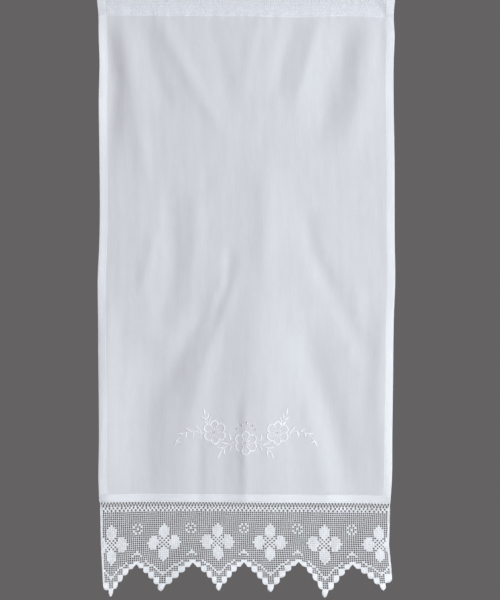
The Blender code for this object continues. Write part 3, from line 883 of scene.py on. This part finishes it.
def leaf_stitches(leaf):
    """A pointed leaf of slanting stitches."""
    foot = np.array([leaf.foot_across, leaf.foot_up])
    tip = np.array([leaf.tip_across, leaf.tip_up])
    middle, direction = evenly(np.stack([foot, tip]), SATIN_PITCH * 1000)
    share = (np.arange(len(middle)) + 0.5) / len(middle)
    half = LEAF_WIDTH / 2 * np.sin(math.pi * share**0.8) ** 0.75
    return satin(middle, turned(direction, 0.5) * half[:, None])


def stem_stitches(stem):
    line = np.array(stem)
    t = np.linspace(0, len(line) - 1, 60)
    knots = np.arange(len(line))
    fine = np.stack([curve_through(t, knots, line[:, k]) for k in (0, 1)], axis=-1)
    middle, direction = evenly(fine, SATIN_PITCH * 1000 * STEM_PITCH_SHARE)
    return satin(middle, turned(direction, STEM_SLANT) * STEM_HALF_WIDTH, STEM_HEIGHT)


def mirrored(leaf):
    return Leaf(-leaf.foot_across, leaf.foot_up, -leaf.tip_across, leaf.tip_up)


def make_embroidery(material):
    """Satin stitch: outlined petals, leaves, stems and the rims of the eyelets."""
    stitches = []
    for flower in FLOWERS:
        for petal in PETALS:
            stitches.append(petal_stitches(flower, petal))
        stitches.append(ring_stitches(flower.across, flower.up))
    for across, up in EYELETS:
        stitches.append(ring_stitches(across, up))
    for leaf in LEAVES:
        stitches.append(leaf_stitches(leaf))
        stitches.append(leaf_stitches(mirrored(leaf)))
    for stem in STEMS:
        stitches.append(stem_stitches(stem))
        stitches.append(stem_stitches([(-across, up) for across, up in stem]))
    paths = np.concatenate(stitches)
    points, faces = tubes(paths, SATIN_THREAD, SATIN_THREAD)
    embroidery = mesh_object("flower_embroidery", points, faces, material)
    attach(embroidery, "root")


# Filet crochet

V_FOOT = -17.75
ROW_LINES = np.concatenate([[SEAM_ROW, V_FOOT, -16.65], np.arange(-15.5, 22.0)])
NET_BAND = 3
V_PITCH = 1.5
SEAM_CHAIN_DROP = 0.15
NET_BOTTOMS = ((1, 20), (3, 17), (6, 14), (9, 11), (11, 9), (13, 8))
UPRIGHT_HALF = {9: 0, 8: 1, 7: 2, 6: 2, 5: 2, 4: 2, 3: 1, 2: 0}
LEVEL_HALF = {8: 0, 7: 2, 6: 3, 5: 3, 4: 3, 3: 1}
ROSETTE_ROW = -7
LEFT_COLUMN_BOTTOM = 17
RIGHT_COLUMN_BOTTOM = 15
EDGE_START = 4.5
EDGE_SLOPE = 0.86
KNOT_SPREAD = 0.05
SEED = 26
POST_LIFT = 0.00012
CHAIN_LIFT = -0.00012
FILL_LIFT = 0.00020
LEG_LIFT = 0.0001
SHELL_LIFT = 0.0001
SIDE_POST = 0.15
SHELL_STEPS = 9
PAST_THE_EDGE = 9
TREBLE_STEP = 0.29
TREBLE_TOP = 0.4
NOTCH_TOP = 8.5
TIP_TOP = 20.4
SECTIONS = (0, 18, 44, 70, 96, 122, 141)


def cell_place(column):
    """Number of the nearest flower and a column's place from its middle column."""
    flower = round((column - FLOWER_COLUMN) / FLOWER_STEP)
    return flower, column - FLOWER_COLUMN - flower * FLOWER_STEP


def net_bottom(column):
    """The last row of net in a column."""
    flower, place = cell_place(column)
    if flower == 0 and place < -3:
        return LEFT_COLUMN_BOTTOM
    if flower == POINTS - 1 and place > 1:
        return RIGHT_COLUMN_BOTTOM
    for reach, bottom in NET_BOTTOMS:
        if abs(place) <= reach:
            return bottom
    return NET_BOTTOMS[-1][1]


def solid_cell(column, row):
    """Whether the chart fills this cell of the net: petals, hearts, rosettes, chevrons, selvedges."""
    if column in (0, LACE_CELLS - 1):
        return True
    place = abs(cell_place(column)[1])
    away = abs(row)
    if place <= UPRIGHT_HALF.get(away, -1) or away <= LEVEL_HALF.get(place, -1):
        return True
    if place <= 2 and away <= 2:
        return (place + away) % 2 == 0
    notch = FLOWER_STEP // 2 - place
    beside, above = notch, abs(row - ROSETTE_ROW)
    if max(beside, above) <= 2:
        return {beside, above} == {1, 2} or beside + above == 0
    if row == 15 and place <= 1:
        return True
    if notch <= 2:
        return row == notch + 4 or (notch == 0 and row == 5)
    return notch >= 5 and row == round(EDGE_START + EDGE_SLOPE * notch)


def lace_cells():
    """Which cells of each band of rows are there, and which are filled."""
    bands = len(ROW_LINES) - 1
    there = np.zeros((bands, LACE_CELLS), bool)
    solid = np.zeros((bands, LACE_CELLS), bool)
    for column in range(LACE_CELLS):
        for band in (1, 2):
            there[band, column] = True
            solid[band, column] = (column + band) % 2 == 0 or column in (0, LACE_CELLS - 1)
        for band in range(NET_BAND, bands):
            row = int(ROW_LINES[band] + 0.5)
            there[band, column] = row <= net_bottom(column)
            solid[band, column] = there[band, column] and solid_cell(column, row)
    return there, solid


def lattice():
    """Cells and rows of the net's knots, a little uneven as in hand work, by line and column."""
    rng = np.random.default_rng(SEED)
    column = np.arange(LACE_CELLS + 1.0)[None, :]
    line = ROW_LINES[:, None]
    drift = 0.10 * np.sin(column * 0.61 + line * 0.35) + 0.08 * np.sin(column * 0.23 - line * 0.8)
    shape = (len(ROW_LINES), LACE_CELLS + 1)
    loose = np.where(line > SEAM_ROW, 1.0, 0.0) * np.ones(shape)
    loose[:, 0] = loose[:, -1] = 0.0
    cell = column + loose * (drift + rng.normal(0.0, KNOT_SPREAD, shape))
    row = line + loose * (0.7 * drift.T[: shape[1], : shape[0]].T + rng.normal(0.0, KNOT_SPREAD, shape))
    return cell, row


Threads = namedtuple("Threads", "cell starts ends thread")


def net_threads():
    """All upright and level threads of the net with the fill of its solid cells, as Threads."""
    there, solid = lace_cells()
    cell, row = lattice()
    groups = []

    def add(cells, rows, lift, thread):
        starts = lace_points(cells[0], rows[0], lift)
        ends = lace_points(cells[1], rows[1], lift)
        groups.append(Threads((cells[0] + cells[1]) / 2, starts, ends, thread))

    padded = np.pad(there, ((0, 0), (1, 1)))
    band, column = np.nonzero(padded[:, :-1] | padded[:, 1:])
    add((cell[band, column], cell[band + 1, column]), (row[band, column], row[band + 1, column]),
        POST_LIFT, POST_THREAD)
    below = np.pad(there, ((0, 1), (0, 0)))
    above = np.pad(there, ((1, 0), (0, 0)))
    line, column = np.nonzero(above | below)
    add((cell[line, column], cell[line, column + 1]), (row[line, column], row[line, column + 1]),
        CHAIN_LIFT, CHAIN_THREAD)
    band, column = np.nonzero(solid)
    for share in (1 / 3, 2 / 3):
        def along(values, line):
            return values[line, column] * (1 - share) + values[line, column + 1] * share
        add((along(cell, band), along(cell, band + 1)), (along(row, band), along(row, band + 1)),
            FILL_LIFT, FILL_THREAD)
    count = int(LACE_CELLS / V_PITCH)
    foot = np.arange(count) * V_PITCH + V_PITCH / 2
    for way in (-1.0, 1.0):
        add((foot + way * V_PITCH / 2, foot), (np.full(count, SEAM_ROW), np.full(count, V_FOOT)),
            LEG_LIFT, LEG_THREAD)
    seam = np.linspace(0.0, LACE_CELLS, LACE_CELLS + 1)
    add((seam[:-1], seam[1:]), (np.full(LACE_CELLS, SEAM_ROW + SEAM_CHAIN_DROP),) * 2, 0.0, SEAM_THREAD)
    for side in (SIDE_POST, LACE_CELLS - SIDE_POST):
        add((np.array([side]), np.array([side])), (np.array([SEAM_ROW]), np.array([V_FOOT])),
            0.0, LEG_THREAD)
    return groups


def shell_arc(outer, inner, steps):
    """The lower edge of one shell: (cells from the point's middle, row) for each step."""
    angle = np.linspace(0.0, math.pi / 2, steps)
    belly = SHELL_BELLY * np.sin(2 * angle)
    out = np.cos(angle).clip(0) ** SHELL_SQUARENESS
    down = np.sin(angle) ** SHELL_SQUARENESS
    cells = inner[0] + (outer[0] - inner[0]) * out + belly
    return cells, outer[1] + (inner[1] - outer[1]) * down + belly


def point_corners(point, side):
    if point == 0 and side < 0:
        return LEFT_END
    if point == POINTS - 1 and side > 0:
        return RIGHT_END
    return CORNERS


def trebles(top_cells, top_row, rim_cells, rim_rows, groups, lean=0.0):
    """Upright trebles, side by side, from a level row down to a rim, and the chain along the rim.
    Their feet may lean to one side."""
    order = np.argsort(rim_cells)
    rows = np.interp(top_cells + lean, rim_cells[order], rim_rows[order])
    tops = lace_points(top_cells, np.full(len(top_cells), top_row), SHELL_LIFT)
    feet = lace_points(top_cells + lean, rows, SHELL_LIFT)
    groups.append(Threads(top_cells, tops, feet, SHELL_THREAD))
    rim_chain(rim_cells, rim_rows, groups)


def rim_chain(cells, rows, groups):
    """The chain along a line of places on the lace's edge."""
    rim = lace_points(cells, rows)
    groups.append(Threads((cells[:-1] + cells[1:]) / 2, rim[:-1], rim[1:], CHAIN_THREAD))


def side_by_side(low, high):
    """Places for trebles between two cells."""
    count = max(2, round((high - low) / TREBLE_STEP))
    return low + (high - low) * (np.arange(count) + 0.5) / count


def shell_threads():
    """The shells that edge the points, with the short stitches over each notch."""
    groups = []
    for point in range(POINTS):
        middle = FLOWER_COLUMN + 0.5 + FLOWER_STEP * point
        for side in (-1, 1):
            corners = point_corners(point, side)
            for outer, inner in zip(corners, corners[1:]):
                cells, rows = shell_arc(outer, inner, SHELL_STEPS)
                tops = side_by_side(inner[0], outer[0])
                top = NOTCH[1] if outer is CORNERS[0] else outer[1] - TREBLE_TOP
                trebles(middle + side * tops, top, middle + side * cells, rows, groups)
            if corners is CORNERS:
                cells = middle + side * np.array([NOTCH[0], CORNERS[0][0]])
                rows = np.array([NOTCH[1], CORNERS[0][1]])
                tops = side_by_side(CORNERS[0][0], NOTCH[0])
                trebles(middle + side * tops, NOTCH_TOP, cells, rows, groups)
        lean = TIP_LEANS[point]
        foot, row = CORNERS[-1]
        cells, rows = np.array(TIP_SHELL).T
        cells = middle + lean + cells
        trebles(middle + side_by_side(-foot, foot), TIP_TOP, cells, rows, groups, lean)
        for side, end in ((1, 0), (-1, -1)):
            start = middle + side * foot
            rim_chain(np.array([start, cells[end]]), np.array([row, rows[end]]), groups)
    return groups


def make_lace(material):
    """The crocheted border in sections that part at the notches."""
    groups = net_threads() + shell_threads()
    made = []
    for number, (low, high) in enumerate(zip(SECTIONS, SECTIONS[1:]), 1):
        low = -PAST_THE_EDGE if low == 0 else low
        high = LACE_CELLS + PAST_THE_EDGE if high == LACE_CELLS else high
        parts = []
        for group in groups:
            here = (group.cell >= low) & (group.cell < high)
            if here.any():
                parts.append(worked_threads(group.starts[here], group.ends[here], group.thread))
        points, faces = joined(parts)
        section = mesh_object(f"lace_section_{number}", points, faces, material)
        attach(section, "root")
        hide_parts("lace_border")
        made.append(section)
    return made


# Camera, light and floor

Light = namedtuple("Light", "name place size power")
LIGHTS = (
    Light("key", (4.1, -3.3, -0.4), 1.9, 263.0),
    Light("fill", (0.3, -4.4, -0.2), 2.2, 88.0),
    Light("back_fill", (-1.2, 3.4, 0.2), 2.4, 60.0),
)
LIGHT_TARGET = (0.0, 0.0, -0.6)
COOL_WHITE = (0.95, 0.975, 1.0)
BACKGROUND = (0.130, 0.122, 0.125, 1.0)
FLOOR_COLOUR = (0.62, 0.61, 0.60, 1.0)
FLOOR_RADIUS = 4.5
FLOOR_LEVEL = -2.1
FLOOR_SIDES = 96
CAMERA_PLACE = (0.007, -4.0, -0.608)
FOCAL_LENGTH = 120.0
SENSOR_WIDTH = 36.0


def aim(obj, target):
    direction = np.array(target) - np.array(obj.location)
    obj.rotation_euler = (
        math.atan2(math.hypot(direction[0], direction[1]), -direction[2]),
        0.0,
        math.atan2(direction[1], direction[0]) - math.pi / 2,
    )


def area_light(row):
    light = bpy.data.lights.new(row.name, "AREA")
    light.shape = "DISK"
    light.size = row.size
    light.energy = row.power
    light.color = COOL_WHITE
    made = bpy.data.objects.new(row.name, light)
    made.location = row.place
    aim(made, LIGHT_TARGET)
    made.visible_camera = False
    bpy.context.scene.collection.objects.link(made)


def make_floor():
    floor = bpy.data.meshes.new("floor")
    rim = np.linspace(0.0, 2 * math.pi, FLOOR_SIDES, endpoint=False)
    points = [(FLOOR_RADIUS * math.cos(a), FLOOR_RADIUS * math.sin(a), FLOOR_LEVEL) for a in rim]
    floor.from_pydata(points, [], [tuple(range(len(points)))])
    pale, tree, shader = new_material("pale_floor")
    fill_inputs(tree, shader, Base_Color=FLOOR_COLOUR, Roughness=0.8)
    floor.materials.append(pale)
    ground = bpy.data.objects.new("floor", floor)
    bpy.context.scene.collection.objects.link(ground)


def make_camera():
    lens = bpy.data.cameras.new("camera")
    lens.lens = FOCAL_LENGTH
    lens.sensor_width = SENSOR_WIDTH
    camera = bpy.data.objects.new("camera", lens)
    camera.location = CAMERA_PLACE
    camera.rotation_euler = (math.pi / 2, 0.0, 0.0)
    bpy.context.scene.collection.objects.link(camera)
    bpy.context.scene.camera = camera


def make_studio():
    scene = bpy.context.scene
    world = bpy.data.worlds.new("studio")
    world.use_nodes = True
    world.node_tree.nodes["Background"].inputs["Color"].default_value = BACKGROUND
    scene.world = world
    scene.view_settings.view_transform = "Standard"
    for row in LIGHTS:
        area_light(row)
    make_floor()
    make_camera()


def main():
    sheer = woven_cotton("sheer_batiste", COTTON, PANEL_COVER)
    sheer_top = woven_cotton("batiste_of_pocket", COTTON, POCKET_COVER)
    # The hems' batiste is a darker copy of the panel's, with painted shade in its colour
    sheer_hems_painted_shade = woven_cotton("batiste_of_hems_painted_shade", HEM_BATISTE_PAINTED_SHADE, HEM_COVER)
    sewing = cotton_thread("sewing_cotton", SEWING_COTTON, FINE_FIBRES)
    satin_floss = cotton_thread("embroidery_cotton", FLOSS, FINE_FIBRES)
    crochet = cotton_thread("crochet_cotton", CROCHET_COTTON, CROCHET_FIBRES)
    panel = make_panel(sheer, sheer_hems_painted_shade)
    pocket = make_pocket(sheer_top, sheer_hems_painted_shade)
    make_stitches(sewing)
    make_embroidery(satin_floss)
    sections = make_lace(crochet)
    make_studio()


main()
